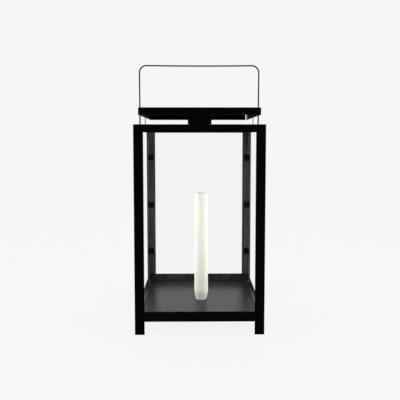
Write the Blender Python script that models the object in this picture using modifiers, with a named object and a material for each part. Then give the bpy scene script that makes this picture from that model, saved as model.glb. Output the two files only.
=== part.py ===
"""Candle lantern: a black steel frame with four glass panes, a lift-off roof, a wire bail handle
and one taper candle. Metres, +Z up, -Y is the front. The origin is the middle of the footprint,
on the surface that the lantern stands on.
"""

from math import cos, pi, radians, sin

import bmesh
import bpy

# Driving dimensions.
WIDTH = 0.200  # across the outer faces of the posts, and the same front to back
FRAME_TOP = 0.324  # top of the posts and of the top rails
ANGLE = 0.015  # flange of the steel angle that the posts are cut from
STEEL = 0.0015  # its thickness, and that of the top rails
EDGE = 0.0006  # rounding along the steel's outer edges
GAP = 0.0003  # between pieces that touch

FRONT_RAIL_HEIGHT = 0.012
OTHER_RAIL_HEIGHT = 0.010
SHELF = 0.014  # how far the top rails' level flanges reach in

TRAY_BOTTOM = 0.0194
TRAY_HEIGHT = 0.0164
SHEET = 0.001  # thickness of the folded sheet in the tray and the roof

GLASS = 0.002
GLASS_EDGE = 0.0004
GLASS_TOP = 0.316

CLIP_HEIGHT = 0.012
CLIP_BLOCK = 0.0043  # the clip's solid corner, from the inside of the post's angle
CLIP_REACH = 0.0100  # end of the clip's two leaves, from the same corner
CLIP_SHEET = 0.0008
CLIP_LEVELS = {"low": 1 / 6, "mid": 3 / 6, "high": 5 / 6}

ROOF_WIDTH = 0.1862
ROOF_TOP = 0.3498
ROOF_RIM = 0.0114
TONGUE_WIDTH = 0.036  # of the front and back tongues, which carry the roof
PEG_DEPTH = 0.0025  # of the narrow tongues at the sides, which drop into the side rails
PEG_REACH = 0.0046  # how far they go below the frame's top
SEAM_X = 0.0907  # of the open seam in the roof's back rim
SEAM = 0.0016

WIRE = 0.0024  # diameter of the bail's wire
HANDLE_TOP = 0.4268  # centre of the bail's bar
HANDLE_CORNER = 0.012
ARM_FOOT = 0.1016  # distance of the bail's arms from the middle at the pivot
ARM_TOP = 0.1020  # and just under the corners
BAR_SAG = 0.0006
PIVOT_BEND = 0.0015
PIVOT_END = 0.0958
PIVOT_HEIGHT = FRAME_TOP - OTHER_RAIL_HEIGHT / 2

CANDLE_X = 0.0034
CANDLE_Y = 0.0
CANDLE_TOP = 0.2100
CANDLE_FOOT_RADIUS = 0.0092
CANDLE_BASE_RADIUS = 0.0121
CANDLE_TOP_RADIUS = 0.0111
CANDLE_FOOT_CONE = 0.014
WICK = 0.0017
WICK_DEPTH = 0.008
SPIKE_RADIUS = 0.0015
SPIKE_LENGTH = 0.015
DISC_RADIUS = 0.0072
DISC = 0.0006

HALF = WIDTH / 2
INNER = HALF - ANGLE  # free edges of the posts' flanges
FACE = HALF - STEEL  # inner faces of the posts' flanges
RIM = FACE - GAP  # outer faces of the tray's rims
PANE_OUT = RIM - SHEET - GAP  # outer faces of the glass
PANE_IN = PANE_OUT - GLASS
PANE_EDGE = FACE - CLIP_BLOCK - GAP  # upright edges of the panes
FLOOR_TOP = TRAY_BOTTOM + SHEET
STEPS = 32  # facets round a turned piece


# The scene: parts in one collection, cutters in another.
for old in list(bpy.data.objects):
    bpy.data.objects.remove(old)
parts = bpy.data.collections.new("candle_lantern")
cutters = bpy.data.collections.new("cutters")
for made in (parts, cutters):
    bpy.context.scene.collection.children.link(made)


def material(name, color, roughness, metallic=0.0, transmission=0.0):
    made = bpy.data.materials.new(name)
    made.use_nodes = True
    shader = made.node_tree.nodes["Principled BSDF"]
    shader.inputs["Base Color"].default_value = (*color, 1.0)
    shader.inputs["Roughness"].default_value = roughness
    shader.inputs["Metallic"].default_value = metallic
    shader.inputs["Transmission Weight"].default_value = transmission
    return made


def add(name, data, location, finish):
    part = bpy.data.objects.new(name, data)
    part.location = location
    parts.objects.link(part)
    data.materials.append(finish)
    return part


def box_mesh(name, low, high):
    """A box between two corners, as a mesh."""
    mesh = bpy.data.meshes.new(name)
    shape = bmesh.new()
    bmesh.ops.create_cube(shape, size=1.0)
    for vert in shape.verts:
        for axis in range(3):
            vert.co[axis] = low[axis] if vert.co[axis] < 0 else high[axis]
    shape.to_mesh(mesh)
    shape.free()
    return mesh


def box(name, low, high, finish, edge=0.0):
    """A box part whose object sits at the middle of its own box."""
    middle = [(a + b) / 2 for a, b in zip(low, high)]
    half = [(b - a) / 2 for a, b in zip(low, high)]
    part = add(name, box_mesh(name, [-h for h in half], half), middle, finish)
    if edge:
        bevel = part.modifiers.new("edges", "BEVEL")
        bevel.width = edge
        bevel.segments = 2
    return part


def cylinder_mesh(name, radius, length, along):
    """A cylinder round its own middle, along one axis."""
    mesh = bpy.data.meshes.new(name)
    shape = bmesh.new()
    bmesh.ops.create_cone(
        shape, cap_ends=True, segments=16, radius1=radius, radius2=radius, depth=length
    )
    if along == "X":
        for vert in shape.verts:
            vert.co = (vert.co.z, vert.co.y, -vert.co.x)
    shape.to_mesh(mesh)
    shape.free()
    return mesh


def cutter(name, mesh, location=(0, 0, 0)):
    made = bpy.data.objects.new(name, mesh)
    made.location = location
    made.display_type = "WIRE"
    made.hide_render = True
    cutters.objects.link(made)
    return made


def boolean(part, tool, operation="DIFFERENCE"):
    made = part.modifiers.new(operation.lower(), "BOOLEAN")
    made.operation = operation
    made.solver = "EXACT"
    made.object = tool


def cut_box(part, name, low, high):
    boolean(part, cutter(name, box_mesh(name, low, high)))


def smooth(part, angle=35):
    part.data.shade_smooth()
    part.data.set_sharp_from_angle(angle=radians(angle))


def turned(name, outline, location, finish):
    """A turned piece from (radius, height) points that run down its outer side."""
    mesh = bpy.data.meshes.new(name)
    mesh.from_pydata(
        [(radius, 0, height) for radius, height in outline],
        [(i, i + 1) for i in range(len(outline) - 1)],
        [],
    )
    part = add(name, mesh, location, finish)
    screw = part.modifiers.new("turn", "SCREW")
    screw.steps = STEPS
    screw.render_steps = STEPS
    screw.use_merge_vertices = True
    screw.merge_threshold = 0.00002
    return part


def wire(name, points, radius, location, finish):
    """A round wire along the given points, with closed ends."""
    curve = bpy.data.curves.new(name, "CURVE")
    curve.dimensions = "3D"
    curve.bevel_depth = radius
    curve.bevel_resolution = 2
    curve.use_fill_caps = True
    spline = curve.splines.new("POLY")
    spline.points.add(len(points) - 1)
    for point, place in zip(spline.points, points):
        point.co = (*place, 1.0)
    return add(name, curve, location, finish)


def arc(centre, radius, start, end, steps):
    """Points on an arc in the XZ plane, with angles in degrees from +X towards +Z."""
    return [
        (
            centre[0] + radius * cos(radians(start + (end - start) * i / steps)),
            0.0,
            centre[1] + radius * sin(radians(start + (end - start) * i / steps)),
        )
        for i in range(steps + 1)
    ]


black_coat = material("black_coat", (0.012, 0.012, 0.013), 0.45)
black_wire = material("black_wire", (0.020, 0.020, 0.021), 0.35)
clear_glass = material("clear_glass", (0.97, 0.99, 0.98), 0.02, transmission=1.0)
bright_steel = material("bright_steel", (0.60, 0.60, 0.60), 0.35, metallic=1.0)
ivory_wax = material("ivory_wax", (0.86, 0.85, 0.76), 0.45)
cotton = material("cotton", (0.88, 0.86, 0.78), 0.9)

SIDES = {"left": -1, "right": 1}
ENDS = {"front": -1, "back": 1}


def post(end, side):
    """One length of equal angle, with its corner at the lantern's corner and open to the inside."""
    x = SIDES[side]
    y = ENDS[end]
    xs = sorted((x * HALF, x * INNER))
    ys = sorted((y * HALF, y * INNER))
    name = f"post_{end}_{side}"
    made = box(name, (xs[0], ys[0], 0.0), (xs[1], ys[1], FRAME_TOP), black_coat, EDGE)
    xs = sorted((x * FACE, 0.0))
    ys = sorted((y * FACE, 0.0))
    cut_box(made, f"{name}_inside", (xs[0], ys[0], -HALF), (xs[1], ys[1], 2 * FRAME_TOP))


def top_rail(name, along, sign, height):
    """A small angle between two posts: an upright flange flush with the posts' outer faces, and a
    level flange at the top. The front and back level flanges run on behind the posts, and the
    side ones stop against them."""

    def place(low, high):
        """Turns (along, outward, up) corners into a box's corners."""
        across = sorted((sign * low[1], sign * high[1]))
        if along == "X":
            return (low[0], across[0], low[2]), (high[0], across[1], high[2])
        return (across[0], low[0], low[2]), (across[1], high[0], high[2])

    reach = INNER - GAP
    shelf_reach = RIM if along == "X" else HALF - SHELF - GAP
    low, high = place((-reach, FACE, FRAME_TOP - height), (reach, HALF, FRAME_TOP))
    rail = box(name, low, high, black_coat, EDGE / 2)
    under = FRAME_TOP - STEEL
    shelf = place((-shelf_reach, RIM, under), (shelf_reach, HALF - SHELF, FRAME_TOP))
    joint = place((-reach, HALF - STEEL / 2, under), (reach, HALF - SHELF, FRAME_TOP))
    for label, corners in (("shelf", shelf), ("joint", joint)):
        boolean(rail, cutter(f"{name}_{label}", box_mesh(label, *corners)), "UNION")
    return rail


def side_rail(side):
    """A side rail also has a round hole for the bail and a slot for the roof's peg."""
    sign = SIDES[side]
    rail = top_rail(f"top_rail_{side}", "Y", sign, OTHER_RAIL_HEIGHT)
    hole = cutter(
        f"pivot_hole_{side}",
        cylinder_mesh("pivot_hole", WIRE / 2 + GAP, 4 * STEEL, "X"),
        (sign * HALF, 0, PIVOT_HEIGHT),
    )
    boolean(rail, hole)
    peg = ROOF_WIDTH / 2 - SHEET / 2
    slot_x = SHEET / 2 + GAP
    slot_y = PEG_DEPTH / 2 + GAP
    cut_box(
        rail,
        f"peg_slot_{side}",
        (sign * peg - slot_x, -slot_y, FRAME_TOP - 2 * STEEL),
        (sign * peg + slot_x, slot_y, FRAME_TOP + STEEL),
    )


def floor_tray():
    """A square folded tray inside the four posts: a floor with four low rims."""
    tray = box(
        "floor_tray",
        (-RIM, -RIM, TRAY_BOTTOM),
        (RIM, RIM, TRAY_BOTTOM + TRAY_HEIGHT),
        black_coat,
        EDGE / 2,
    )
    inside = RIM - SHEET
    cut_box(tray, "tray_hollow", (-inside, -inside, FLOOR_TOP), (inside, inside, 2 * FRAME_TOP))


def pane(name, along, sign):
    """A pane that stands in the tray, just inside its rim, between two posts."""
    bottom = FLOOR_TOP + GAP
    plane = sorted((sign * PANE_IN, sign * PANE_OUT))
    if along == "X":
        low, high = (-PANE_EDGE, plane[0], bottom), (PANE_EDGE, plane[1], GLASS_TOP)
    else:
        low, high = (plane[0], -PANE_EDGE, bottom), (plane[1], PANE_EDGE, GLASS_TOP)
    box(f"glass_{name}", low, high, clear_glass, GLASS_EDGE)


def corner_clip(end, side, level, height):
    """A clip in a post's angle: a block between two panes' edges, with a thin leaf behind each."""
    leaf = FACE - PANE_IN + GAP
    back = leaf + CLIP_SHEET
    outline = [
        (GAP, GAP),
        (CLIP_BLOCK, GAP),
        (CLIP_BLOCK, leaf),
        (CLIP_REACH, leaf),
        (CLIP_REACH, back),
        (back, back),
        (back, CLIP_REACH),
        (leaf, CLIP_REACH),
        (leaf, CLIP_BLOCK),
        (GAP, CLIP_BLOCK),
    ]
    name = f"clip_{end}_{side}_{level}"
    curve = bpy.data.curves.new(name, "CURVE")
    curve.dimensions = "2D"
    curve.fill_mode = "BOTH"
    curve.extrude = CLIP_HEIGHT / 2
    spline = curve.splines.new("POLY")
    spline.points.add(len(outline) - 1)
    spline.use_cyclic_u = True
    for point, (u, v) in zip(spline.points, outline):
        point.co = (SIDES[side] * (FACE - u), ENDS[end] * (FACE - v), 0.0, 1.0)
    add(name, curve, (0, 0, height), black_coat)


def roof_pan():
    """The roof: one folded sheet with four rims, two wide tongues that stand on the front and back
    rails, and two narrow pegs that drop into the side rails. One seam stays open at the back."""
    half = ROOF_WIDTH / 2
    rim_bottom = ROOF_TOP - ROOF_RIM
    roof = box("roof_pan", (-half, -half, rim_bottom), (half, half, ROOF_TOP), black_coat, EDGE)
    inside = half - SHEET
    cut_box(roof, "roof_hollow", (-inside, -inside, 0.0), (inside, inside, ROOF_TOP - SHEET))
    for name, sign in ENDS.items():
        ys = sorted((sign * inside, sign * half))
        tongue = box_mesh(
            "tongue",
            (-TONGUE_WIDTH / 2, ys[0], FRAME_TOP + GAP),
            (TONGUE_WIDTH / 2, ys[1], rim_bottom + ROOF_RIM / 2),
        )
        boolean(roof, cutter(f"tongue_{name}", tongue), "UNION")
    for name, sign in SIDES.items():
        xs = sorted((sign * inside, sign * half))
        peg = box_mesh(
            "peg",
            (xs[0], -PEG_DEPTH / 2, FRAME_TOP - PEG_REACH),
            (xs[1], PEG_DEPTH / 2, rim_bottom + ROOF_RIM / 2),
        )
        boolean(roof, cutter(f"peg_{name}", peg), "UNION")
    cut_box(
        roof,
        "seam",
        (SEAM_X - SEAM / 2, inside - SHEET, 0.0),
        (SEAM_X + SEAM / 2, half + SHEET, ROOF_TOP - 2 * SHEET),
    )


def bail_handle():
    """The bail: one wire, bent in at both feet to pivot in the side rails, with a nearly straight bar."""
    corner = HANDLE_CORNER
    top = HANDLE_TOP - PIVOT_HEIGHT
    foot = arc((ARM_FOOT - PIVOT_BEND, PIVOT_BEND), PIVOT_BEND, -90, 0, 4)
    shoulder = arc((ARM_TOP - corner, top - corner), corner, 0, 90, 8)
    half = [(PIVOT_END, 0.0, 0.0)] + foot + shoulder
    other = [(-x, y, z) for x, y, z in reversed(half)]
    span = ARM_TOP - corner
    bar = []
    for i in range(1, 8):
        x = span * (1 - i / 4)
        bar.append((x, 0.0, top - BAR_SAG * cos(pi / 2 * x / span)))
    wire("bail_handle", half + bar + other, WIRE / 2, (0, 0, PIVOT_HEIGHT), black_wire)


def candle():
    """A turned candle with a tapered foot, hollow under the foot for the holder's disc and spike,
    and its wick in a hole at the top."""
    bottom = FLOOR_TOP + GAP
    height = CANDLE_TOP - bottom
    shoulder = 0.0045
    outline = [(0.0, height - WICK_DEPTH), (WICK / 2 + GAP, height - WICK_DEPTH)]
    outline.append((WICK / 2 + GAP, height))
    for i in range(7):
        angle = pi / 2 * i / 6
        radius = CANDLE_TOP_RADIUS - shoulder * (1 - sin(angle))
        outline.append((radius, height - shoulder * (1 - cos(angle))))
    outline += [
        (CANDLE_BASE_RADIUS, CANDLE_FOOT_CONE),
        (CANDLE_FOOT_RADIUS, 0.0),
        (DISC_RADIUS + GAP, 0.0),
        (DISC_RADIUS + GAP, DISC + GAP),
        (SPIKE_RADIUS + GAP, DISC + GAP),
        (SPIKE_RADIUS + GAP, SPIKE_LENGTH + 2 * GAP),
        (0.0, SPIKE_LENGTH + 2 * GAP),
    ]
    place = (CANDLE_X, CANDLE_Y, bottom)
    smooth(turned("candle", outline, place, ivory_wax))
    holder = [
        (0.0, SPIKE_LENGTH),
        (SPIKE_RADIUS, SPIKE_LENGTH - 3 * SPIKE_RADIUS),
        (SPIKE_RADIUS, DISC),
        (DISC_RADIUS, DISC),
        (DISC_RADIUS, 0.0),
        (0.0, 0.0),
    ]
    smooth(turned("candle_holder_pin", holder, place, bright_steel))
    rise = 0.014
    bend = 0.0045
    stem = [(0.0, 0.0, GAP - WICK_DEPTH), (0.0, 0.0, 0.0), (0.0, 0.0, rise)]
    curl = arc((-bend, rise), bend, 0, 46, 6)[1:]
    tip = (curl[-1][0] - 0.0072, 0.0, curl[-1][2] + 0.008)
    wire("wick", stem + curl + [tip], WICK / 2, (CANDLE_X, CANDLE_Y, CANDLE_TOP), cotton)


RIM_TOP = TRAY_BOTTOM + TRAY_HEIGHT
OPENING = FRAME_TOP - FRONT_RAIL_HEIGHT - RIM_TOP
for post_end in ENDS:
    for post_side in SIDES:
        post(post_end, post_side)
        for clip_level, share in CLIP_LEVELS.items():
            corner_clip(post_end, post_side, clip_level, RIM_TOP + share * OPENING)
top_rail("top_rail_front", "X", -1, FRONT_RAIL_HEIGHT)
top_rail("top_rail_back", "X", 1, OTHER_RAIL_HEIGHT)
for rail_side in SIDES:
    side_rail(rail_side)
floor_tray()
for pane_name, pane_along, pane_sign in (
    ("front", "X", -1),
    ("back", "X", 1),
    ("left", "Y", -1),
    ("right", "Y", 1),
):
    pane(pane_name, pane_along, pane_sign)
roof_pan()
bail_handle()
candle()
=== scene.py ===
# %% [markdown]
# # A candle lantern, from its frame to its wick
#
# The lantern is a welded cage of thin black steel angle with four loose glass panes, a folded
# roof that lifts off, a wire bail to carry it by and one taper candle on a hidden spike. Its
# measured solids are loaded first. Each later cell makes one kind of piece in finer detail
# round those solids, and everything is in metres, with +Z up and the front towards -Y.

from math import cos, pi, radians, sin, sqrt, tan

import bmesh
import bpy
from mathutils import Matrix, Vector


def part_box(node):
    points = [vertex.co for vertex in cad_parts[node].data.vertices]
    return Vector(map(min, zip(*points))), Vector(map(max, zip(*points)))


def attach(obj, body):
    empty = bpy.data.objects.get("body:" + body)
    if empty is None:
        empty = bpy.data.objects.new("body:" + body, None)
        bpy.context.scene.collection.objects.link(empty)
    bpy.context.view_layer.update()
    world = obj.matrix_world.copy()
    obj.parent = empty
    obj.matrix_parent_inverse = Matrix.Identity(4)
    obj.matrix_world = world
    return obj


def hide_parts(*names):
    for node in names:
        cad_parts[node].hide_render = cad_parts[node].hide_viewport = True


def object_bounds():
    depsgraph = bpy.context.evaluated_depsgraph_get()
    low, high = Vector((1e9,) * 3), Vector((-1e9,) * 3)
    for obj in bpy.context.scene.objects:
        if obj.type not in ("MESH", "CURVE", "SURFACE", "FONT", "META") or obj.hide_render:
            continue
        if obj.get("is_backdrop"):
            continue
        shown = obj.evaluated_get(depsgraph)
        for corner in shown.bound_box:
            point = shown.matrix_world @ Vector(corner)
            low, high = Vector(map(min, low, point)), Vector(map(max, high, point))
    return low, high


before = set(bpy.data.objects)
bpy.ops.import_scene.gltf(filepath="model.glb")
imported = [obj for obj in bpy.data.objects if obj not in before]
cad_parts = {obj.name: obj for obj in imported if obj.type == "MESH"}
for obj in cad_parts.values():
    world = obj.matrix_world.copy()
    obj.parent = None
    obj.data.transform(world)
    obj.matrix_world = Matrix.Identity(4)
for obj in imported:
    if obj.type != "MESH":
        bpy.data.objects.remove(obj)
measured_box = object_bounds()
scene = bpy.context.scene
MM = 0.001
print("whole lantern, mm:", [round(v / MM, 1) for v in measured_box[1] - measured_box[0]])

# %% [markdown]
# ## The camera
#
# A catalogue view is usually taken from a little below the lid and straight in front, so that
# upright edges stay upright. Tilting the camera would make the posts lean together. A small
# vertical shift of the sensor frames the lantern instead, as a photographer's shift lens does.

# %% Camera
camera = bpy.data.objects.new("camera", bpy.data.cameras.new("camera"))
scene.collection.objects.link(camera)
camera.data.sensor_width = 36.0
camera.data.lens = 40.09
camera.data.shift_y = -0.0803
camera.location = (-0.0059, -0.7702, 0.3021)
camera.rotation_euler = (pi / 2 - 0.065, 0.0, -0.0095)
scene.camera = camera
scene.view_settings.view_transform = "Standard"
print("lens", camera.data.lens, "mm, at", tuple(camera.location))

# %% [markdown]
# ## A white studio
#
# Black steel shows only what it reflects, so the room matters more than the paint. The lantern
# stands in a white sweep that wraps round its back and sides. In front, where the camera stands,
# the room falls off into the dark, so the front faces go black. A Light Path node tells the
# world whether a ray comes from the eye, even through glass, or was reflected on its way: the
# eye always sees the white sweep, and the steel and the wax get the room.

# %% The room
def math_node(tree, operation, first, second=None, clamp=False):
    """A Math node whose inputs are numbers or other nodes' outputs."""
    node = tree.nodes.new("ShaderNodeMath")
    node.operation = operation
    node.use_clamp = clamp
    for socket, value in zip(node.inputs, (first, second)):
        if value is None:
            continue
        if isinstance(value, (int, float)):
            socket.default_value = value
        else:
            tree.links.new(value, socket)
    return node.outputs[0]


def ramp_node(tree, factor, stops):
    """A Color Ramp with its stops as (position, grey value or colour)."""
    node = tree.nodes.new("ShaderNodeValToRGB")
    while len(node.color_ramp.elements) < len(stops):
        node.color_ramp.elements.new(1.0)
    for element, (position, value) in zip(node.color_ramp.elements, stops):
        element.position = position
        colour = (value,) * 3 if isinstance(value, (int, float)) else value
        element.color = (*colour, 1.0)
    tree.links.new(factor, node.inputs["Fac"])
    return node.outputs["Color"]


def straight_from_eye(tree):
    """1 for a ray that comes from the eye, even through glass, and 0 once it was reflected."""
    path = tree.nodes.new("ShaderNodeLightPath").outputs
    reflected = math_node(tree, "ADD", path["Glossy Depth"], path["Diffuse Depth"])
    direct = math_node(tree, "LESS_THAN", reflected, 0.5)
    eye = math_node(tree, "MAXIMUM", path["Is Camera Ray"], path["Is Transmission Ray"])
    return math_node(tree, "MULTIPLY", eye, direct)


BACKDROP = 0.921
DARK_FRONT = 0.022

room = bpy.data.worlds.new("white_room")
scene.world = room
room.use_nodes = True
tree = room.node_tree
backdrop = tree.nodes["Background"]
around = tree.nodes.new("ShaderNodeBackground")
chooser = tree.nodes.new("ShaderNodeMixShader")
direction = tree.nodes.new("ShaderNodeTexCoord")
split = tree.nodes.new("ShaderNodeSeparateXYZ")
tree.links.new(direction.outputs["Generated"], split.inputs[0])
towards_front = math_node(tree, "MULTIPLY", split.outputs["Y"], -1.0)
room_tone = ramp_node(
    tree,
    towards_front,
    [(0.0, 1.0), (0.3, 1.0), (0.6, 0.04), (0.9, DARK_FRONT), (1.0, DARK_FRONT)],
)
tree.links.new(room_tone, around.inputs["Color"])
backdrop.inputs["Color"].default_value = (BACKDROP, BACKDROP, BACKDROP, 1.0)
tree.links.new(straight_from_eye(tree), chooser.inputs["Fac"])
tree.links.new(around.outputs[0], chooser.inputs[1])
tree.links.new(backdrop.outputs[0], chooser.inputs[2])
tree.links.new(chooser.outputs[0], tree.nodes["World Output"].inputs["Surface"])
print("backdrop brightness:", BACKDROP)

# %% [markdown]
# ## The floor
#
# The floor is the front of the same white sweep. It is lit so evenly that it hardly takes a
# shadow, so most of its brightness is given to it directly, and only a small part depends on
# the light that reaches it. That part leaves a faint shade under the feet. For reflections the
# floor gets darker towards the camera, as the room does.

# %% Floor
FLOOR_SIZE = 12.0
FLOOR_SHARE = 0.045  # of its brightness that comes from light falling on it
floor_mesh = bpy.data.meshes.new("studio_floor")
shape = bmesh.new()
bmesh.ops.create_grid(shape, x_segments=24, y_segments=24, size=FLOOR_SIZE)
shape.to_mesh(floor_mesh)
shape.free()
studio_floor = bpy.data.objects.new("studio_floor", floor_mesh)
studio_floor.location.z = measured_box[0].z - 0.0002
scene.collection.objects.link(studio_floor)
studio_floor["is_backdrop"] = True

floor_finish = bpy.data.materials.new("white_sweep")
floor_finish.use_nodes = True
floor_finish.cycles.emission_sampling = "NONE"
tree = floor_finish.node_tree
shader = tree.nodes["Principled BSDF"]
shader.inputs["Base Color"].default_value = (0.05, 0.05, 0.05, 1.0)
shader.inputs["Roughness"].default_value = 1.0
shader.inputs["Specular IOR Level"].default_value = 0.0
shader.inputs["Emission Color"].default_value = (1.0, 1.0, 1.0, 1.0)
apart = tree.nodes.new("ShaderNodeSeparateXYZ")
tree.links.new(tree.nodes.new("ShaderNodeTexCoord").outputs["Object"], apart.inputs[0])
depth = math_node(tree, "MULTIPLY_ADD", apart.outputs["Y"], 1.2, clamp=True)
depth.node.inputs[2].default_value = 0.1
mirrored = ramp_node(tree, depth, [(0.0, 0.02), (1.0, 0.9)])
given_light = tree.nodes.new("ShaderNodeMix")
in_mirror = tree.nodes.new("ShaderNodeLightPath").outputs["Glossy Depth"]
tree.links.new(math_node(tree, "LESS_THAN", in_mirror, 0.5), given_light.inputs["Factor"])
tree.links.new(mirrored, given_light.inputs[2])
given_light.inputs[3].default_value = BACKDROP - FLOOR_SHARE
tree.links.new(given_light.outputs[0], shader.inputs["Emission Strength"])
floor_mesh.materials.append(floor_finish)
print("floor at z", round(studio_floor.location.z, 5))

# %% [markdown]
# ## Two soft boxes
#
# The wax needs light from the front, which the dark front of the room doesn't give. Two large
# soft boxes stand far out to the left and right. From there they reach the round candle, but
# flat steel and flat glass mirror them away to the sides and not into the lens.

# %% Lights
def soft_box(name, location, width, height, power):
    """A rectangular area light that looks at the candle."""
    data = bpy.data.lights.new(name, "AREA")
    data.shape = "RECTANGLE"
    data.size = width
    data.size_y = height
    data.energy = power
    lamp = bpy.data.objects.new(name, data)
    lamp.location = location
    aim = Vector((0.0, 0.0, 0.15)) - Vector(location)
    lamp.rotation_euler = aim.to_track_quat("-Z", "Y").to_euler()
    scene.collection.objects.link(lamp)
    return lamp


SOFT_BOX_POWER = 12.2
for side, x in (("left", -1.35), ("right", 1.35)):
    soft_box(f"soft_box_{side}", (x, -0.75, 0.75), 0.9, 1.3, SOFT_BOX_POWER)

# %% [markdown]
# ## Shared surface effects
#
# Several finishes need the same small effects, and a node group holds each one once. Powder
# coat has the fine dimples of orange peel. Corners wear first, and a Bevel node finds them by
# comparing the true normal with a softened one. Dust settles on what faces up. The sides that face
# into the cage get a painted grey, which is painted light standing in for the light they catch.

# %% Group helper
def group(name, inputs, outputs):
    """A new shader node group with float inputs {name: default} and float outputs [name]."""
    made = bpy.data.node_groups.new(name, "ShaderNodeTree")
    for label, value in inputs.items():
        socket = made.interface.new_socket(label, in_out="INPUT", socket_type="NodeSocketFloat")
        socket.default_value = value
    for label in outputs:
        made.interface.new_socket(label, in_out="OUTPUT", socket_type="NodeSocketFloat")
    return made, made.nodes.new("NodeGroupInput"), made.nodes.new("NodeGroupOutput")


def noise(tree, vector, scale, detail=3.0, roughness=0.55):
    """A Noise texture in object space. Scale is a number or a node's output."""
    node = tree.nodes.new("ShaderNodeTexNoise")
    node.inputs["Detail"].default_value = detail
    node.inputs["Roughness"].default_value = roughness
    if isinstance(scale, (int, float)):
        node.inputs["Scale"].default_value = scale
    else:
        tree.links.new(scale, node.inputs["Scale"])
    tree.links.new(vector, node.inputs["Vector"])
    return node.outputs["Fac"]


def object_space(tree):
    return tree.nodes.new("ShaderNodeTexCoord").outputs["Object"]


# %% Orange peel
orange_peel, taken, given = group(
    "orange_peel", {"Dimple Scale": 900.0, "Wave Scale": 60.0}, ["Height", "Tone"]
)
place = object_space(orange_peel)
dimples = noise(orange_peel, place, taken.outputs["Dimple Scale"], 2.0)
waves = noise(orange_peel, place, taken.outputs["Wave Scale"], 2.0)
height = math_node(orange_peel, "MULTIPLY_ADD", waves, 0.6)
height.node.inputs[2].default_value = 0.0
orange_peel.links.new(dimples, height.node.inputs[2])
orange_peel.links.new(height, given.inputs["Height"])
orange_peel.links.new(waves, given.inputs["Tone"])

# %% Worn corners
worn_corners, taken, given = group("worn_corners", {"Patch Scale": 140.0}, ["Mask"])
softened = worn_corners.nodes.new("ShaderNodeBevel")
softened.samples = 4
softened.inputs["Radius"].default_value = 0.0006
surface = worn_corners.nodes.new("ShaderNodeNewGeometry")
compare = worn_corners.nodes.new("ShaderNodeVectorMath")
compare.operation = "DOT_PRODUCT"
worn_corners.links.new(softened.outputs["Normal"], compare.inputs[0])
worn_corners.links.new(surface.outputs["Normal"], compare.inputs[1])
bent = math_node(worn_corners, "SUBTRACT", 1.0, compare.outputs["Value"])
bent = math_node(worn_corners, "MULTIPLY", bent, 9.0, clamp=True)
patches = noise(worn_corners, object_space(worn_corners), taken.outputs["Patch Scale"], 4.0)
patches = math_node(worn_corners, "SUBTRACT", patches, 0.42)
patches = math_node(worn_corners, "MULTIPLY", patches, 5.0, clamp=True)
worn = math_node(worn_corners, "MULTIPLY", bent, patches)
worn_corners.links.new(worn, given.inputs["Mask"])

# %% Settled dust
settled_dust, taken, given = group("settled_dust", {"Speck Scale": 260.0}, ["Mask"])
surface = settled_dust.nodes.new("ShaderNodeNewGeometry")
split = settled_dust.nodes.new("ShaderNodeSeparateXYZ")
settled_dust.links.new(surface.outputs["Normal"], split.inputs[0])
level = math_node(settled_dust, "SUBTRACT", split.outputs["Z"], 0.6)
level = math_node(settled_dust, "MULTIPLY", level, 2.5, clamp=True)
specks = noise(settled_dust, object_space(settled_dust), taken.outputs["Speck Scale"], 6.0, 0.7)
clouds = noise(settled_dust, object_space(settled_dust), 22.0, 3.0)
dust_and_painted_light = math_node(settled_dust, "MULTIPLY", specks, clouds)
dusty = math_node(settled_dust, "MULTIPLY", level, dust_and_painted_light)
settled_dust.links.new(dusty, given.inputs["Mask"])

# %% Painted light inside the cage
# A grey painted on the sides inside the cage is painted light: it stands in for the light those
# sides catch. The mask is 1 on what lies behind the cage's outer skin, in streaks that run down.
inside_painted_light, taken, given = group("inside_painted_light", {"Skin": 0.0992, "Streak Scale": 260.0}, ["Mask"])
place = object_space(inside_painted_light)
apart = inside_painted_light.nodes.new("ShaderNodeSeparateXYZ")
inside_painted_light.links.new(place, apart.inputs[0])
far_x = math_node(inside_painted_light, "ABSOLUTE", apart.outputs["X"])
far_y = math_node(inside_painted_light, "ABSOLUTE", apart.outputs["Y"])
farther = math_node(inside_painted_light, "MAXIMUM", far_x, far_y)
inside = math_node(inside_painted_light, "LESS_THAN", farther, taken.outputs["Skin"])
flow = inside_painted_light.nodes.new("ShaderNodeMapping")
flow.inputs["Scale"].default_value = (1.0, 1.0, 0.06)
inside_painted_light.links.new(place, flow.inputs["Vector"])
streaks = noise(inside_painted_light, flow.outputs["Vector"], taken.outputs["Streak Scale"], 3.0)
streaks = math_node(inside_painted_light, "MULTIPLY", streaks, 1.6, clamp=True)
inside_painted_light.links.new(math_node(inside_painted_light, "MULTIPLY", inside, streaks), given.inputs["Mask"])
print("shared groups:", [g.name for g in bpy.data.node_groups])


# %% [markdown]
# ## Black powder coat
#
# The steel is powder coated: a satin black skin with a faint orange peel, a shade glossier where
# hands have rubbed the corners. The black is very deep, and its mirror is weaker than that of
# common paint. Part of the grey on the tray is the white room, mirrored at a low angle. The posts
# and the tray also get a painted grey on the sides that face into the cage: painted light, standing
# in for the light those sides catch.

# %% Powder coat
def put_group(tree, made, **values):
    """Places a node group in a material with its own values."""
    node = tree.nodes.new("ShaderNodeGroup")
    node.node_tree = made
    for label, value in values.items():
        node.inputs[label.replace("_", " ")].default_value = value
    return node.outputs


def mix_colour(tree, factor, first, second):
    """Mixes two colours by a factor, each a colour or a node's output."""
    node = tree.nodes.new("ShaderNodeMix")
    node.data_type = "RGBA"
    tree.links.new(factor, node.inputs["Factor"])
    for socket, value in ((node.inputs[6], first), (node.inputs[7], second)):
        if isinstance(value, tuple):
            socket.default_value = (*value, 1.0)
        else:
            tree.links.new(value, socket)
    return node.outputs[2]


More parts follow.
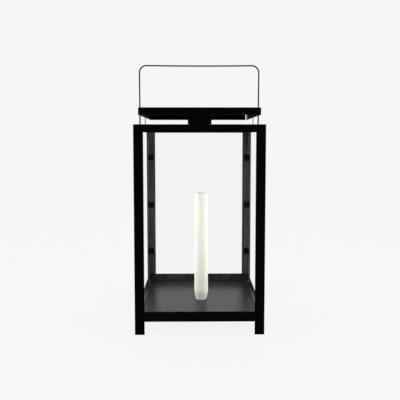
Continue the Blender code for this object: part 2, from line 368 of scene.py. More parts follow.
def bump(tree, height, distance, strength=1.0):
    node = tree.nodes.new("ShaderNodeBump")
    node.inputs["Distance"].default_value = distance
    node.inputs["Strength"].default_value = strength
    tree.links.new(height, node.inputs["Height"])
    return node.outputs["Normal"]


def remap(tree, value, low, high):
    """Stretches a 0 to 1 value to run from low to high."""
    node = tree.nodes.new("ShaderNodeMapRange")
    node.inputs["To Min"].default_value = low
    node.inputs["To Max"].default_value = high
    tree.links.new(value, node.inputs["Value"])
    return node.outputs["Result"]


def new_finish(name):
    made = bpy.data.materials.new(name)
    made.use_nodes = True
    return made, made.node_tree, made.node_tree.nodes["Principled BSDF"]


def coat(name, black, bare, dust, roughness, gloss, peel_depth, dust_and_painted_light=None, skin=99.2 * MM):
    """A black coat over steel: orange peel, rubbed corners, dust and optional painted light inside.
    """
    made, tree, shader = new_finish(name)
    peel = put_group(tree, orange_peel)
    corners = put_group(tree, worn_corners)
    dust_film = put_group(tree, settled_dust)
    colour = mix_colour(tree, corners["Mask"], black, bare)
    colour = mix_colour(tree, dust_film["Mask"], colour, dust)
    # Painted light: the sides that face into the cage get a grey that stands in for the light they
    # catch.
    if dust_and_painted_light:
        inner = put_group(tree, inside_painted_light, Skin=skin)
        colour = mix_colour(tree, inner["Mask"], colour, dust_and_painted_light)
    tree.links.new(colour, shader.inputs["Base Color"])
    rough = remap(tree, peel["Tone"], roughness - 0.04, roughness + 0.05)
    rough = math_node(tree, "SUBTRACT", rough, math_node(tree, "MULTIPLY", corners["Mask"], 0.1))
    rough = math_node(tree, "ADD", rough, math_node(tree, "MULTIPLY", dust_film["Mask"], 0.15))
    tree.links.new(rough, shader.inputs["Roughness"])
    tree.links.new(bump(tree, peel["Height"], peel_depth), shader.inputs["Normal"])
    shader.inputs["Specular IOR Level"].default_value = gloss
    return made


DEEP_BLACK = (0.0007, 0.0007, 0.0008)
RUBBED_BLACK = (0.004, 0.004, 0.0042)
BLACK_DUST = (0.012, 0.012, 0.0115)
PEEL = 0.02 * MM
powder_coat = coat("powder_coat", DEEP_BLACK, RUBBED_BLACK, BLACK_DUST, 0.38, 0.12, PEEL)
# The posts get painted light on their inner sides: a grey that stands in for the light those sides
# catch.
post_coat = coat(
    "post_coat", DEEP_BLACK, RUBBED_BLACK, BLACK_DUST, 0.32, 0.13, PEEL, dust_and_painted_light=(0.095,) * 3
)
# The tray gets the same painted light, weaker, on its floor and inner rims, on top of its dust.
tray_coat = coat(
    "tray_coat", (0.0011, 0.0011, 0.0012), (0.005, 0.005, 0.0052), (0.05, 0.049, 0.047),
    0.27, 0.23, PEEL, dust_and_painted_light=(0.028,) * 3, skin=97.6 * MM,
)
wire_coat = coat(
    "wire_coat", (0.003, 0.003, 0.0031), (0.02,) * 3, (0.02, 0.02, 0.019), 0.30, 0.3, PEEL / 2
)
print("coats:", [m.name for m in (powder_coat, post_coat, tray_coat, wire_coat)])

# %% [markdown]
# ## Clear glass
#
# Window glass is nearly colourless face on and green along its cut edges, where light travels
# a long way inside it. Light that only passes through is let by without a shadow, because a
# path tracer finds it hard to follow light through glass onto the things behind. The index of
# refraction is 1.18, and not the 1.5 of real glass, to keep the mirror in the panes weak, and a
# Layer Weight node takes it away where a pane is seen almost edge on. Anyone who wants true
# glass sets 1.5 and leaves that node out. The surface gets the faint waves and the odd smear
# that real panes have.

# %% Glass
WEAK_INDEX = 1.18
EDGE_ON = 0.8
clear_glass, tree, shader = new_finish("clear_glass")
shader.inputs["Base Color"].default_value = (0.998, 1.0, 0.999, 1.0)
shader.inputs["Transmission Weight"].default_value = 1.0
shader.inputs["IOR"].default_value = WEAK_INDEX
smears = noise(tree, object_space(tree), 9.0, 5.0, 0.6)
smears = math_node(tree, "SUBTRACT", smears, 0.55)
smears = math_node(tree, "MULTIPLY", smears, 0.03, clamp=True)
tree.links.new(smears, shader.inputs["Roughness"])
waviness = noise(tree, object_space(tree), 6.0, 1.0)
tree.links.new(bump(tree, waviness, 0.0001, 0.2), shader.inputs["Normal"])
let_by = tree.nodes.new("ShaderNodeBsdfTransparent")
let_by.inputs["Color"].default_value = (0.99, 0.995, 0.992, 1.0)
either = tree.nodes.new("ShaderNodeMixShader")
path = tree.nodes.new("ShaderNodeLightPath")
facing = tree.nodes.new("ShaderNodeLayerWeight").outputs["Facing"]
edge_on = math_node(tree, "GREATER_THAN", facing, EDGE_ON)
let_through = math_node(tree, "MAXIMUM", path.outputs["Is Shadow Ray"], edge_on)
tree.links.new(let_through, either.inputs["Fac"])
tree.links.new(shader.outputs[0], either.inputs[1])
tree.links.new(let_by.outputs[0], either.inputs[2])
tree.links.new(either.outputs[0], tree.nodes["Material Output"].inputs["Surface"])

# %% [markdown]
# ## Wax, cotton and steel
#
# Wax is cloudy: light enters, scatters a few millimetres and comes out softened, so subsurface
# scattering matters more than its colour. Its skin has slight ripples from the mould. The wick
# is white cotton yarn, dipped in the same wax at its lower end. The hidden spike is plain
# turned steel.

# %% Wax
wax_skin, taken, given = group("wax_skin", {"Cloud Scale": 55.0}, ["Cloud", "Height"])
place = object_space(wax_skin)
cloud = noise(wax_skin, place, taken.outputs["Cloud Scale"], 4.0)
stretch = wax_skin.nodes.new("ShaderNodeMapping")
stretch.inputs["Scale"].default_value = (1.0, 1.0, 0.12)
wax_skin.links.new(place, stretch.inputs["Vector"])
ripples = noise(wax_skin, stretch.outputs["Vector"], 240.0, 2.0)
pits = noise(wax_skin, place, 700.0, 2.0)
skin = math_node(wax_skin, "MULTIPLY_ADD", pits, 0.25)
wax_skin.links.new(ripples, skin.node.inputs[2])
wax_skin.links.new(cloud, given.inputs["Cloud"])
wax_skin.links.new(skin, given.inputs["Height"])

ivory_wax, tree, shader = new_finish("ivory_wax")
skin = put_group(tree, wax_skin)
cloudy = mix_colour(tree, skin["Cloud"], (0.93, 0.94, 0.80), (0.96, 0.965, 0.86))
tree.links.new(cloudy, shader.inputs["Base Color"])
tree.links.new(remap(tree, skin["Cloud"], 0.34, 0.52), shader.inputs["Roughness"])
tree.links.new(bump(tree, skin["Height"], 0.00006, 0.6), shader.inputs["Normal"])
shader.inputs["Subsurface Weight"].default_value = 0.85
shader.inputs["Subsurface Radius"].default_value = (1.0, 0.85, 0.55)
shader.inputs["Subsurface Scale"].default_value = 0.005
shader.inputs["Specular IOR Level"].default_value = 0.4

# %% Cotton
cotton_fibre, taken, given = group("cotton_fibre", {"Fibre Scale": 2600.0}, ["Height", "Tone"])
place = object_space(cotton_fibre)
lengthen = cotton_fibre.nodes.new("ShaderNodeMapping")
lengthen.inputs["Scale"].default_value = (1.0, 1.0, 0.18)
lengthen.inputs["Rotation"].default_value = (0.4, 0.5, 0.0)
cotton_fibre.links.new(place, lengthen.inputs["Vector"])
fibres = noise(cotton_fibre, lengthen.outputs["Vector"], taken.outputs["Fibre Scale"], 3.0)
tone = noise(cotton_fibre, place, 600.0, 3.0)
cotton_fibre.links.new(fibres, given.inputs["Height"])
cotton_fibre.links.new(tone, given.inputs["Tone"])

cotton_yarn, tree, shader = new_finish("cotton_yarn")
yarn = put_group(tree, cotton_fibre)
tree.links.new(
    mix_colour(tree, yarn["Tone"], (0.86, 0.855, 0.82), (0.96, 0.955, 0.94)),
    shader.inputs["Base Color"],
)
tree.links.new(remap(tree, yarn["Tone"], 0.75, 0.95), shader.inputs["Roughness"])
tree.links.new(bump(tree, yarn["Height"], 0.00008, 0.8), shader.inputs["Normal"])
shader.inputs["Sheen Weight"].default_value = 0.3

# %% Steel
turned_steel, tree, shader = new_finish("turned_steel")
rings = tree.nodes.new("ShaderNodeTexWave")
rings.wave_type = "RINGS"
rings.rings_direction = "Z"
rings.inputs["Scale"].default_value = 900.0
rings.inputs["Distortion"].default_value = 1.5
tree.links.new(object_space(tree), rings.inputs["Vector"])
steel_tone = noise(tree, object_space(tree), 180.0, 4.0)
tree.links.new(
    mix_colour(tree, steel_tone, (0.46, 0.46, 0.47), (0.62, 0.62, 0.61)),
    shader.inputs["Base Color"],
)
tree.links.new(remap(tree, rings.outputs["Fac"], 0.28, 0.42), shader.inputs["Roughness"])
tree.links.new(bump(tree, rings.outputs["Fac"], 0.00001, 0.5), shader.inputs["Normal"])
shader.inputs["Metallic"].default_value = 1.0
print("finishes:", [m.name for m in (clear_glass, ivory_wax, cotton_yarn, turned_steel)])


# %% [markdown]
# ## Tools for bent and cut metal
#
# Nearly every piece of the cage is one flat outline pushed along a straight line. Real rolled
# or folded steel has no knife edges, so the outline's corners are rounded first, each with its
# own radius, and the sawn ends get a small bevel afterwards. Rounding in the outline costs few
# faces and catches the light along the whole length.

# %% Outlines and prisms
def rounded(corners, steps=5):
    """Turns (x, y, radius) corners of a closed outline into points with an arc at each corner."""
    points = []
    count = len(corners)
    for i, (x, y, radius) in enumerate(corners):
        here = Vector((x, y))
        before = (Vector(corners[i - 1][:2]) - here).normalized()
        after = (Vector(corners[(i + 1) % count][:2]) - here).normalized()
        half_angle = before.angle(after) / 2
        if radius <= 0 or abs(half_angle - pi / 2) < 1e-4:
            points.append(here)
            continue
        reach = radius / tan(half_angle)
        centre = here + (before + after).normalized() * (radius / sin(half_angle))
        start = here + before * reach - centre
        turn = pi - 2 * half_angle
        side = 1.0 if before.cross(after) < 0 else -1.0
        for k in range(steps + 1):
            angle = side * turn * k / steps
            points.append(centre + Matrix.Rotation(angle, 2) @ start)
    return points


def prism(name, outline, low, high, along="Z"):
    """Pushes an outline along an axis: its x and y become the other two axes, in X, Y, Z order."""
    order = {"Z": lambda u, v, w: (u, v, w), "X": lambda u, v, w: (w, u, v),
             "Y": lambda u, v, w: (u, w, v)}[along]
    mesh = bpy.data.meshes.new(name)
    shape = bmesh.new()
    rings = [[shape.verts.new(order(p.x, p.y, w)) for p in outline] for w in (low, high)]
    for i in range(len(outline)):
        j = (i + 1) % len(outline)
        shape.faces.new((rings[0][i], rings[0][j], rings[1][j], rings[1][i]))
    shape.faces.new(rings[0][::-1])
    shape.faces.new(rings[1])
    bmesh.ops.recalc_face_normals(shape, faces=shape.faces)
    shape.to_mesh(mesh)
    shape.free()
    return mesh


def settle(piece):
    """Applies a piece's modifiers, so that its mesh is final."""
    bpy.context.view_layer.update()
    final = bpy.data.meshes.new_from_object(
        piece.evaluated_get(bpy.context.evaluated_depsgraph_get())
    )
    final.name = piece.name
    piece.modifiers.clear()
    piece.data = final
    return piece


def soften(piece, width, limit=50, segments=2):
    """Bevels what is sharper than the limit and gives flat faces true flat shading."""
    bevel = piece.modifiers.new("soft_ends", "BEVEL")
    bevel.width = width
    bevel.segments = segments
    bevel.limit_method = "ANGLE"
    bevel.angle_limit = radians(limit)
    settle(piece)
    piece.data.shade_smooth()
    piece.data.set_sharp_from_angle(angle=radians(40))
    weighted = piece.modifiers.new("flat_faces", "WEIGHTED_NORMAL")
    weighted.keep_sharp = True
    return settle(piece)


def cut(piece, mesh):
    """Takes a mesh's shape out of a piece."""
    tool = bpy.data.objects.new("cutting_tool", mesh)
    scene.collection.objects.link(tool)
    taking = piece.modifiers.new("cut", "BOOLEAN")
    taking.object = tool
    settle(piece)
    bpy.data.objects.remove(tool)


def new_piece(name, mesh, finish, body):
    """Puts a mesh in the scene with its finish. It rides on a body once it is final."""
    piece = bpy.data.objects.new(name, mesh)
    scene.collection.objects.link(piece)
    mesh.materials.clear()
    mesh.materials.append(finish)
    piece["body"] = body
    return piece


def hand_over(piece, stands_for):
    body = piece["body"]
    del piece["body"]
    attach(piece, body)
    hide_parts(*stands_for)


# %% [markdown]
# ## Corner posts
#
# Each post is a length of equal angle, 15 mm wide and 1.5 mm thick. Rolled angle has a rounded
# heel outside, a fillet inside and slightly rounded toes. Its sawn lower end is the foot.

# %% Posts
ENDS = {"front": -1, "back": 1}
SIDES = {"left": -1, "right": 1}
post_low, post_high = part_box("post_front_left")
HALF = -post_low.x
FLANGE = post_high.x - post_low.x
STEEL = 1.5 * MM
TOE = 0.35 * MM
HEEL = 0.9 * MM
for end, y_sign in ENDS.items():
    for side, x_sign in SIDES.items():
        inner = HALF - FLANGE
        face = HALF - STEEL
        corners = [
            (HALF, HALF, HEEL),
            (inner, HALF, TOE),
            (inner, face, TOE),
            (face, face, 1.2 * MM),
            (face, inner, TOE),
            (HALF, inner, TOE),
        ]
        corners = [(x * x_sign, y * y_sign, r) for x, y, r in corners]
        outline = rounded(corners)
        name = f"corner_post_{end}_{side}"
        piece = new_piece(name, prism(name, outline, post_low.z, post_high.z), post_coat, "frame")
        soften(piece, 0.2 * MM)
        hand_over(piece, [f"post_{end}_{side}"])
print("posts:", round(FLANGE / MM, 1), "mm angle,", round(post_high.z / MM, 1), "mm tall")

# %% [markdown]
# ## Top rails
#
# Four rails close the cage at the top. Each is a small angle, with an upright flange in line
# with the posts' faces and a level shelf that the roof's tongues stand on. The side rails have
# a round hole for the bail's end and a slot for the roof's peg. The rails reach the posts and
# are welded there from behind.

# %% Rails
def rail_outline(sign, height, top, shelf_inner):
    """The rail's section, as (across, up) corners."""
    corners = [
        (HALF, top, 0.5 * MM),
        (HALF, top - height, TOE),
        (HALF - STEEL, top - height, TOE),
        (HALF - STEEL, top - STEEL, 0.9 * MM),
        (shelf_inner, top - STEEL, TOE),
        (shelf_inner, top, TOE),
    ]
    return rounded([(x * sign, z, r) for x, z, r in corners])


def cylinder_along_x(radius, length, centre, segments=32):
    mesh = bpy.data.meshes.new("drill")
    shape = bmesh.new()
    bmesh.ops.create_cone(
        shape, cap_ends=True, segments=segments, radius1=radius, radius2=radius, depth=length
    )
    mesh_turn = Matrix.Translation(centre) @ Matrix.Rotation(pi / 2, 4, "Y")
    bmesh.ops.transform(shape, matrix=mesh_turn, verts=shape.verts)
    shape.to_mesh(mesh)
    shape.free()
    return mesh


def block(low, high):
    """A plain box mesh between two corners, used as a cutting tool."""
    mesh = bpy.data.meshes.new("block")
    shape = bmesh.new()
    bmesh.ops.create_cube(shape, size=1.0)
    for vert in shape.verts:
        vert.co = Vector([low[i] if vert.co[i] < 0 else high[i] for i in range(3)])
    shape.to_mesh(mesh)
    shape.free()
    return mesh


TOP = post_high.z
RAIL_REACH = HALF - FLANGE + 0.02 * MM
handle_low, handle_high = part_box("bail_handle")
PIVOT_Z = TOP - 5.0 * MM
roof_low, roof_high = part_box("roof_pan")
ROOF_HALF = roof_high.x
for name, along, sign in (
    ("front", "X", -1),
    ("back", "X", 1),
    ("left", "Y", -1),
    ("right", "Y", 1),
):
    low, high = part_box(f"top_rail_{name}")
    across = "y" if along == "X" else "x"
    shelf_inner = min(abs(getattr(low, across)), abs(getattr(high, across)))
    outline = rail_outline(sign, high.z - low.z, TOP, shelf_inner)
    mesh = prism(f"rail_{name}", outline, -RAIL_REACH, RAIL_REACH, along)
    piece = new_piece(f"rail_{name}", mesh, powder_coat, "frame")
    if along == "Y":
        cut(piece, cylinder_along_x(1.5 * MM, 6 * MM, (sign * HALF, 0.0, PIVOT_Z)))
        peg_x = sign * (ROOF_HALF - 0.5 * MM)
        low_corner = (peg_x - 0.8 * MM, -1.55 * MM, TOP - 3 * MM)
        cut(piece, block(low_corner, (peg_x + 0.8 * MM, 1.55 * MM, TOP + 1 * MM)))
    soften(piece, 0.12 * MM)
    hand_over(piece, [f"top_rail_{name}"])
print("rails: shelf", round((HALF - shelf_inner) / MM, 1), "mm deep")

# %% [markdown]
# ## Folded pans
#
# The tray and the roof are made the same way: a flat sheet with its corners notched, and four
# rims folded up or down. Folding leaves a small radius along each rim and an open seam at each
# corner. One surface is enough to draw that, with Solidify giving it the sheet's thickness
# inwards. Flaps such as the roof's tongues are extra faces on the same surface.

# %% Fold a pan
def folded_pan(name, half, depth, bend, upward, lines, flaps=(), slits=(), wave=0.0):
    """A square pan with its plate at z = 0 and its rims folded up (1) or down (-1).

    lines are the grid's positive positions along a side. A flap is (side, from, to, depth),
    and a slit is (side, from, to), with sides 0 to 3 for +X, +Y, -X and -Y."""
    flat = half - bend
    seam = 0.3 * MM
    grid = sorted({-v for v in lines} | set(lines) | {-flat, flat})
    steps = 5
    rows = []
    for k in range(steps + 1):
        angle = pi / 2 * k / steps
        rows.append((flat + bend * sin(angle), bend * (1 - cos(angle)), sin(angle)))
    rows.append((half, bend + 0.6 * MM, 1.0))
    rows.append((half, depth, 1.0))
    shape = bmesh.new()

    def point(side, along, outward, down):
        turn = Matrix.Rotation(side * pi / 2, 3, "Z")
        return turn @ Vector((outward, along, upward * down))

    def column(value, share):
        """A grid line's place, where the outermost lines spread to meet the next rim."""
        if abs(abs(value) - flat) < 1e-9:
            return (flat + (half - seam - flat) * share) * (1 if value > 0 else -1)
        return value

    def face(points):
        shape.faces.new([shape.verts.new(p) for p in points])

    for i in range(len(grid) - 1):
        for j in range(len(grid) - 1):
            x0, x1, y0, y1 = grid[i], grid[i + 1], grid[j], grid[j + 1]
            face([Vector((x, y, 0.0)) for x, y in ((x0, y0), (x1, y0), (x1, y1), (x0, y1))])
    for side in range(4):
        for j in range(len(grid) - 1):
            a, b = grid[j], grid[j + 1]
            middle = (a + b) / 2
            open_here = any(s == side and f < middle < t for s, f, t in slits)
            for k in range(len(rows) - 1):
                if open_here and k >= steps:
                    continue
                (out0, down0, share0), (out1, down1, share1) = rows[k], rows[k + 1]
                face(
                    [
                        point(side, column(a, share0), out0, down0),
                        point(side, column(b, share0), out0, down0),
                        point(side, column(b, share1), out1, down1),
                        point(side, column(a, share1), out1, down1),
                    ]
                )
            for s, f, t, flap_depth in flaps:
                if s == side and f < middle < t:
                    face(
                        [
                            point(side, a, half, depth),
                            point(side, b, half, depth),
                            point(side, b, half, flap_depth),
                            point(side, a, half, flap_depth),
                        ]
                    )
    bmesh.ops.remove_doubles(shape, verts=shape.verts, dist=1e-6)
    bmesh.ops.recalc_face_normals(shape, faces=shape.faces)
    shape.faces.ensure_lookup_table()
    plate = min(shape.faces, key=lambda f: f.calc_center_median().length)
    if plate.normal.z * upward > 0:
        bmesh.ops.reverse_faces(shape, faces=shape.faces)
    for vert in shape.verts:
        inside = max(0.0, 1 - (max(abs(vert.co.x), abs(vert.co.y)) / flat) ** 2)
        if abs(vert.co.z) < 1e-9 and inside > 0:
            swell = sin(vert.co.x * 31 + 0.7) * cos(vert.co.y * 27 - 0.4)
            vert.co.z += upward * wave * inside * (0.5 + 0.5 * swell)
    mesh = bpy.data.meshes.new(name)
    shape.to_mesh(mesh)
    shape.free()
    return mesh


def thicken(piece, sheet):
    """Gives a folded surface its thickness, inwards from the outer face."""
    solid = piece.modifiers.new("sheet", "SOLIDIFY")
    solid.thickness = sheet
    solid.offset = -1.0
    solid.use_even_offset = True
    return soften(piece, 0.15 * MM)


SHEET = 1.0 * MM
EVEN = [i * 10.5 * MM for i in range(0, 9)]

# %% [markdown]
# ## Floor tray
#
# The tray hangs between the posts' inner faces, 20 mm above the table, and its rims hide the
# lower edges of the glass. Thin sheet never lies quite flat after folding, so its floor swells
# by a tenth of a millimetre, which is enough to bend the reflections.

# %% Tray
tray_low, tray_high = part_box("floor_tray")
mesh = folded_pan(
    "tray", tray_high.x, tray_high.z - tray_low.z, 1.7 * MM, 1, EVEN, wave=0.12 * MM
)
piece = new_piece("tray", mesh, tray_coat, "frame")
piece.data.transform(Matrix.Translation((0, 0, tray_low.z)))
thicken(piece, SHEET)
hand_over(piece, ["floor_tray"])
print("tray faces:", len(piece.data.polygons))

# %% [markdown]
# ## Roof
#
# The roof is the same fold turned over. Wide tongues at the front and back stand on the rails
# and keep a gap for warm air, and a narrow peg at each side drops into a slot so that the roof
# can't slide. One seam at its back, by the right corner, stays open.

# %% Roof
TONGUE = 18.0 * MM
PEG = 1.25 * MM
top_z = roof_high.z
rim_depth = 11.4 * MM
tongue_depth = top_z - (TOP + 0.3 * MM)
peg_depth = top_z - roof_low.z
lines = [v for v in EVEN if abs(v - TONGUE) > 4 * MM and v > 0] + [PEG, TONGUE]
lines += [89.9 * MM, 91.5 * MM]
mesh = folded_pan(
    "roof",
    ROOF_HALF,
    rim_depth,
    1.4 * MM,
    -1,
    lines,
    flaps=(
        (1, -TONGUE, TONGUE, tongue_depth),
        (3, -TONGUE, TONGUE, tongue_depth),
        (0, -PEG, PEG, peg_depth),
        (2, -PEG, PEG, peg_depth),
    ),
    slits=((1, -91.5 * MM, -89.9 * MM),),
)
piece = new_piece("roof", mesh, powder_coat, "roof")
piece.data.transform(Matrix.Translation((0, 0, top_z)))
thicken(piece, SHEET)
hand_over(piece, ["roof_pan"])
print("roof: tongues", round(2 * TONGUE / MM), "mm wide, faces", len(piece.data.polygons))

# %% [markdown]
# ## Glass panes
#
# Each pane stands loose in the tray behind its rim. Cut glass for a lantern has its edges
# ground to a narrow flat bevel, so nobody is cut when lifting a pane out. That bevel is what
# makes a pane visible from the side.

# %% Panes
for name in ("front", "back", "left", "right"):
    low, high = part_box(f"glass_{name}")
    corner = 0.25 * MM
    outline = rounded(
        [
            (low.x, low.y, corner),
            (high.x, low.y, corner),
            (high.x, high.y, corner),
            (low.x, high.y, corner),
        ],
        3,
    )
    mesh = prism(f"pane_{name}", outline, low.z, high.z)
    piece = new_piece(f"pane_{name}", mesh, clear_glass, "frame")
    soften(piece, 0.35 * MM, segments=1)
    hand_over(piece, [f"glass_{name}"])
print("panes:", round((high.z - low.z) / MM, 1), "mm tall")

# %% [markdown]
# ## Corner clips
#
# Three small clips up each post hold two panes at once: a block sits between the panes' edges
# and a thin leaf springs against the back of each. They are folded from thin strip and coated
# with the rest, so all their corners are soft.

# %% Clips
for end, y_sign in ENDS.items():
    for side, x_sign in SIDES.items():
        for level in ("low", "mid", "high"):
            node = f"clip_{end}_{side}_{level}"
            low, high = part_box(node)
            far = max(abs(low.x), abs(high.x))
            near = min(abs(low.x), abs(high.x))
            block_in = far - 4.0 * MM
            leaf_out = far - 3.6 * MM
            leaf_in = far - 4.4 * MM
            r = 0.3 * MM
            corners = [
                (far, far, 0.8 * MM),
                (block_in, far, r),
                (block_in, leaf_out, r),
                (near, leaf_out, r),
                (near, leaf_in, r),
                (leaf_in, leaf_in, 1.2 * MM),
                (leaf_in, near, r),
                (leaf_out, near, r),
                (leaf_out, block_in, r),
                (far, block_in, r),
            ]
            outline = rounded([(x * x_sign, y * y_sign, q) for x, y, q in corners], 3)
            name = f"corner_{node}"
            piece = new_piece(name, prism(name, outline, low.z, high.z), powder_coat, "frame")
            soften(piece, 0.2 * MM)
            hand_over(piece, [node])
print("clips:", 12)

# %% [markdown]
# ## Bail
#
# The bail is one length of 2.4 mm wire, bent in a jig. Its bar sags a hair in the middle, its
# corners are tight arcs, and its ends turn in through the side rails, where they are peened
# over so that they can't pull out. A curve with a round bevel follows such a wire exactly, and
# it becomes a mesh once its path is right.

# %% Wire path
WIRE = (handle_high.y - handle_low.y) / 2
ARM_TOP = handle_high.x - WIRE
ARM_FOOT = ARM_TOP - 0.4 * MM
BAR_Z = handle_high.z - WIRE
CORNER = 12.0 * MM
FOOT_BEND = 1.5 * MM
WIRE_END = 95.8 * MM
SAG = 0.6 * MM


def arc_points(centre_x, centre_z, radius, start, stop, count):
    """Points on an arc in the XZ plane, with angles in degrees from +X."""
    points = []
    for i in range(count + 1):
        angle = radians(start + (stop - start) * i / count)
        points.append(Vector((centre_x + radius * cos(angle), 0.0, centre_z + radius * sin(angle))))
    return points


half_path = [Vector((WIRE_END + 0.9 * MM * k, 0.0, PIVOT_Z)) for k in range(4)]
half_path += arc_points(ARM_FOOT - FOOT_BEND, PIVOT_Z + FOOT_BEND, FOOT_BEND, -90, 0, 8)
lower = half_path[-1]
shoulder = arc_points(ARM_TOP - CORNER, BAR_Z - CORNER, CORNER, 0, 90, 18)
half_path += [lower.lerp(shoulder[0], k / 8) for k in range(1, 8)]
half_path += shoulder
span = ARM_TOP - CORNER
bar = []
for k in range(1, 24):
    x = span * (1 - k / 12)
    bar.append(Vector((x, 0.0, BAR_Z - SAG * cos(pi / 2 * x / span))))
wire_path = half_path + bar + [Vector((-p.x, 0.0, p.z)) for p in reversed(half_path)]

# %% Bail
def tube_curve(name, points, radius, thickness=None, sides=6):
    """A mesh tube along points, with an optional thickness factor for each of them."""
    curve = bpy.data.curves.new(name, "CURVE")
    curve.dimensions = "3D"
    curve.bevel_depth = radius
    curve.bevel_resolution = sides
    curve.use_fill_caps = True
    spline = curve.splines.new("POLY")
    spline.points.add(len(points) - 1)
    for i, (point, target) in enumerate(zip(spline.points, points)):
        point.co = (*target, 1.0)
        point.radius = thickness[i] if thickness else 1.0
    holder = bpy.data.objects.new(name, curve)
    scene.collection.objects.link(holder)
    bpy.context.view_layer.update()
    mesh = bpy.data.meshes.new_from_object(
        holder.evaluated_get(bpy.context.evaluated_depsgraph_get())
    )
    bpy.data.objects.remove(holder)
    shape = bmesh.new()
    shape.from_mesh(mesh)
    bmesh.ops.remove_doubles(shape, verts=shape.verts, dist=1e-7)
    shape.to_mesh(mesh)
    shape.free()
    mesh.shade_smooth()
    mesh.set_sharp_from_angle(angle=radians(50))
    return mesh


peened = [1.0] * len(wire_path)
for k, factor in enumerate((0.8, 1.12, 1.0)):
    peened[k] = factor
    peened[-1 - k] = factor
piece = new_piece("bail", tube_curve("bail", wire_path, WIRE, peened), wire_coat, "handle")
hand_over(piece, ["bail_handle"])
wire_length = sum((a - b).length for a, b in zip(wire_path, wire_path[1:]))
print("bail:", round(wire_length / MM), "mm of wire")

# %% [markdown]
# ## Candle
#
# A household taper is cast upside down in a mould. It narrows a little towards the top, ends in
# a rounded shoulder, and has a fluted conical foot that grips a holder. One grid of points,
# turned round the axis, makes the skin: each point's radius comes from its height and, at the
# foot, from its angle too. Slow ripples of a few hundredths of a millimetre keep it from
# looking machined.

# %% Candle skin
candle_low, candle_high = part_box("candle")
centre_x = (candle_low.x + candle_high.x) / 2
centre_y = (candle_low.y + candle_high.y) / 2
candle_height = candle_high.z - candle_low.z
BASE_R = (candle_high.x - candle_low.x) / 2 - 0.06 * MM
TOP_R = BASE_R - 1.0 * MM
FOOT_R = 9.2 * MM
CONE = 14.0 * MM
FOOT_EDGE = 1.0 * MM
SHOULDER = 4.5 * MM
FLUTES = 10
AROUND = 120


def skin_radius(height, angle):
    """The candle's radius at a height, with flutes in the foot and slow ripples above."""
    share = min(1.0, max(0.0, (height - CONE) / (candle_height - CONE)))
    radius = BASE_R + (TOP_R - BASE_R) * share
    if height < CONE:
        rise = height / CONE
        radius = FOOT_R + (BASE_R - FOOT_R) * rise
        depth = 0.8 * MM * min(1.0, (1 - rise) * 2.2)
        radius -= depth * (0.5 - 0.5 * cos(FLUTES * angle))
    if height < FOOT_EDGE:
        radius -= FOOT_EDGE * (1 - sqrt(1 - (1 - height / FOOT_EDGE) ** 2))
    radius += 0.03 * MM * sin(height * 260 + 2 * sin(angle))
    radius += 0.02 * MM * sin(3 * angle + height * 90)
    drop = height - (candle_height - SHOULDER)
    if drop > 0:
        radius -= SHOULDER * (1 - sqrt(max(0.0, 1 - (drop / SHOULDER) ** 2)))
    return radius


heights = [FOOT_EDGE * (1 - cos(pi / 2 * k / 5)) for k in range(6)]
heights += [FOOT_EDGE + (CONE - FOOT_EDGE) * k / 16 for k in range(1, 17)]
heights += [CONE + (candle_height - CONE - SHOULDER) * k / 60 for k in range(1, 61)]
heights += [candle_height - SHOULDER * (1 - sin(pi / 2 * k / 8)) for k in range(1, 8)]
mesh = bpy.data.meshes.new("taper")
shape = bmesh.new()
rings = []
for height in heights:
    ring = []
    for i in range(AROUND):
        angle = 2 * pi * i / AROUND
        radius = skin_radius(height, angle)
        ring.append(shape.verts.new((radius * cos(angle), radius * sin(angle), height)))
    rings.append(ring)


def round_ring(radius, height):
    angles = [2 * pi * i / AROUND for i in range(AROUND)]
    return [shape.verts.new((radius * cos(a), radius * sin(a), height)) for a in angles]


# The crown is nearly flat, and its wax climbs the wick a little.
crown = [(0.5, -0.02), (0.38, -0.05), (0.26, -0.1), (0.17, -0.05), (0.12, 0.0)]
for share, lift in crown:
    rings.append(round_ring(TOP_R * share, candle_height + lift * MM))
top_centre = shape.verts.new((0.0, 0.0, candle_height - 0.4 * MM))
recess = [
    (7.8 * MM, 0.0),
    (7.5 * MM, 0.25 * MM),
    (7.5 * MM, 0.9 * MM),
    (2.1 * MM, 0.9 * MM),
    (1.8 * MM, 1.2 * MM),
    (1.8 * MM, 15.6 * MM),
]
below = [round_ring(radius, height) for radius, height in recess]
bottom_centre = shape.verts.new((0.0, 0.0, 15.9 * MM))
stack = list(reversed(below)) + rings
for lower_ring, upper_ring in zip(stack, stack[1:]):
    for i in range(AROUND):
        j = (i + 1) % AROUND
        shape.faces.new((lower_ring[i], lower_ring[j], upper_ring[j], upper_ring[i]))
for i in range(AROUND):
    j = (i + 1) % AROUND
    shape.faces.new((stack[-1][i], stack[-1][j], top_centre))
    shape.faces.new((stack[0][j], stack[0][i], bottom_centre))
bmesh.ops.recalc_face_normals(shape, faces=shape.faces)
shape.to_mesh(mesh)
shape.free()
mesh.transform(Matrix.Translation((centre_x, centre_y, candle_low.z)))
mesh.shade_smooth()
mesh.set_sharp_from_angle(angle=radians(45))
piece = new_piece("taper", mesh, ivory_wax, "candle")
hand_over(piece, ["candle"])
print("candle:", round(2 * BASE_R / MM, 1), "mm wide,", round(candle_height / MM, 1), "mm tall")

# %% [markdown]
# ## Wick
#
# A wick is a flat braid of three cotton yarns. Each yarn swings from side to side and passes in
# front of and behind the others, a third of a turn apart. The braid's own path rises straight
# from the wax, then droops to one side, as an unlit wick does. The yarns loosen at its tip.

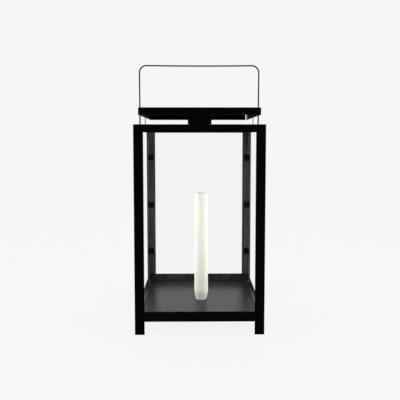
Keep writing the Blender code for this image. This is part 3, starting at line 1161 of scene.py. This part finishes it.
# %% Wick
wick_low, wick_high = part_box("wick")
crown_z = candle_high.z
rise = 14.0 * MM
bend_radius = 4.5 * MM
lean = radians(46)
bend_end = Vector((-bend_radius * (1 - cos(lean)), 0.0, rise + bend_radius * sin(lean)))
tip = Vector((wick_low.x - centre_x + 0.95 * MM, 0.0, wick_high.z - crown_z - 0.85 * MM))


def wick_point(share):
    """The braid's centre line, from inside the wax (0) to its tip (1)."""
    start_depth = -6.0 * MM
    straight = rise - start_depth
    curved = bend_radius * lean
    last = (tip - bend_end).length
    along = share * (straight + curved + last)
    if along < straight:
        return Vector((0.0, 0.0, start_depth + along))
    if along < straight + curved:
        angle = (along - straight) / bend_radius
        return Vector((-bend_radius * (1 - cos(angle)), 0.0, rise + bend_radius * sin(angle)))
    part = (along - straight - curved) / last
    droop = Vector((-0.25 * MM, 0.0, 0.25 * MM)) * sin(pi * part)
    return bend_end.lerp(tip, part) + droop


YARN = 0.36 * MM
PITCH = 0.13
YARN_STEPS = 150
across = Vector((0.0, 1.0, 0.0))
shape = bmesh.new()
for strand in range(3):
    path_points = []
    loosened = []
    for k in range(YARN_STEPS + 1):
        share = k / YARN_STEPS
        centre = wick_point(share)
        behind = wick_point(max(0.0, share - 0.01))
        ahead = (wick_point(min(1.0, share + 0.01)) - behind).normalized()
        outward = ahead.cross(across).normalized()
        phase = 2 * pi * (share / PITCH + strand / 3)
        spread = 1.0 + 0.55 * max(0.0, (share - 0.95) / 0.05) * (0.4 if strand else 0.0)
        offset = outward * (0.42 * MM * sin(phase)) + across * (0.24 * MM * sin(2 * phase))
        path_points.append(centre + offset * spread + Vector((centre_x, centre_y, crown_z)))
        loosened.append(1.0 - 0.35 * max(0.0, (share - 0.97) / 0.03))
    yarn_mesh = tube_curve(f"yarn_{strand}", path_points, YARN, loosened, 3)
    shape.from_mesh(yarn_mesh)
    bpy.data.meshes.remove(yarn_mesh)
mesh = bpy.data.meshes.new("braided_wick")
shape.to_mesh(mesh)
shape.free()
mesh.shade_smooth()
piece = new_piece("braided_wick", mesh, cotton_yarn, "candle")
hand_over(piece, ["wick"])
print("wick:", len(mesh.polygons), "faces in three yarns")

# %% [markdown]
# ## Candle holder
#
# Under the candle a small steel disc carries a pointed spike. It shows only when the candle is
# pulled off. A turned piece is a profile swept round an axis, which a Screw modifier does.

# %% Holder
pin_low, pin_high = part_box("candle_holder_pin")
pin_height = pin_high.z - pin_low.z
profile = [
    (0.0, pin_height),
    (0.25 * MM, pin_height - 0.25 * MM),
    (1.5 * MM, pin_height - 4.5 * MM),
    (1.5 * MM, 1.1 * MM),
    (1.7 * MM, 0.75 * MM),
    (2.2 * MM, 0.6 * MM),
    (6.9 * MM, 0.6 * MM),
    (7.1 * MM, 0.5 * MM),
    (7.2 * MM, 0.3 * MM),
    (7.1 * MM, 0.1 * MM),
    (6.9 * MM, 0.0),
    (0.0, 0.0),
]
mesh = bpy.data.meshes.new("spike")
shape = bmesh.new()
line = [shape.verts.new((x, 0.0, z)) for x, z in profile]
for a, b in zip(line, line[1:]):
    shape.edges.new((a, b))
shape.to_mesh(mesh)
shape.free()
mesh.transform(Matrix.Translation((0.0, 0.0, pin_low.z)))
piece = new_piece("spike", mesh, turned_steel, "frame")
turning = piece.modifiers.new("turning", "SCREW")
turning.steps = 64
turning.render_steps = 64
turning.use_merge_vertices = True
turning.merge_threshold = 0.00001
settle(piece)
piece.data.transform(Matrix.Translation((centre_x, centre_y, 0.0)))
piece.data.shade_smooth()
piece.data.set_sharp_from_angle(angle=radians(35))
hand_over(piece, ["candle_holder_pin"])
print("spike:", round(pin_height / MM, 1), "mm tall")

# %% [markdown]
# ## Check the size
#
# The fine pieces must fill the same box as the measured solids.

# %% Finish
visual_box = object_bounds()
for corner, name in ((0, "low"), (1, "high")):
    difference = (visual_box[corner] - measured_box[corner]) / MM
    print(name, "corner differs by, mm:", [round(v, 3) for v in difference])
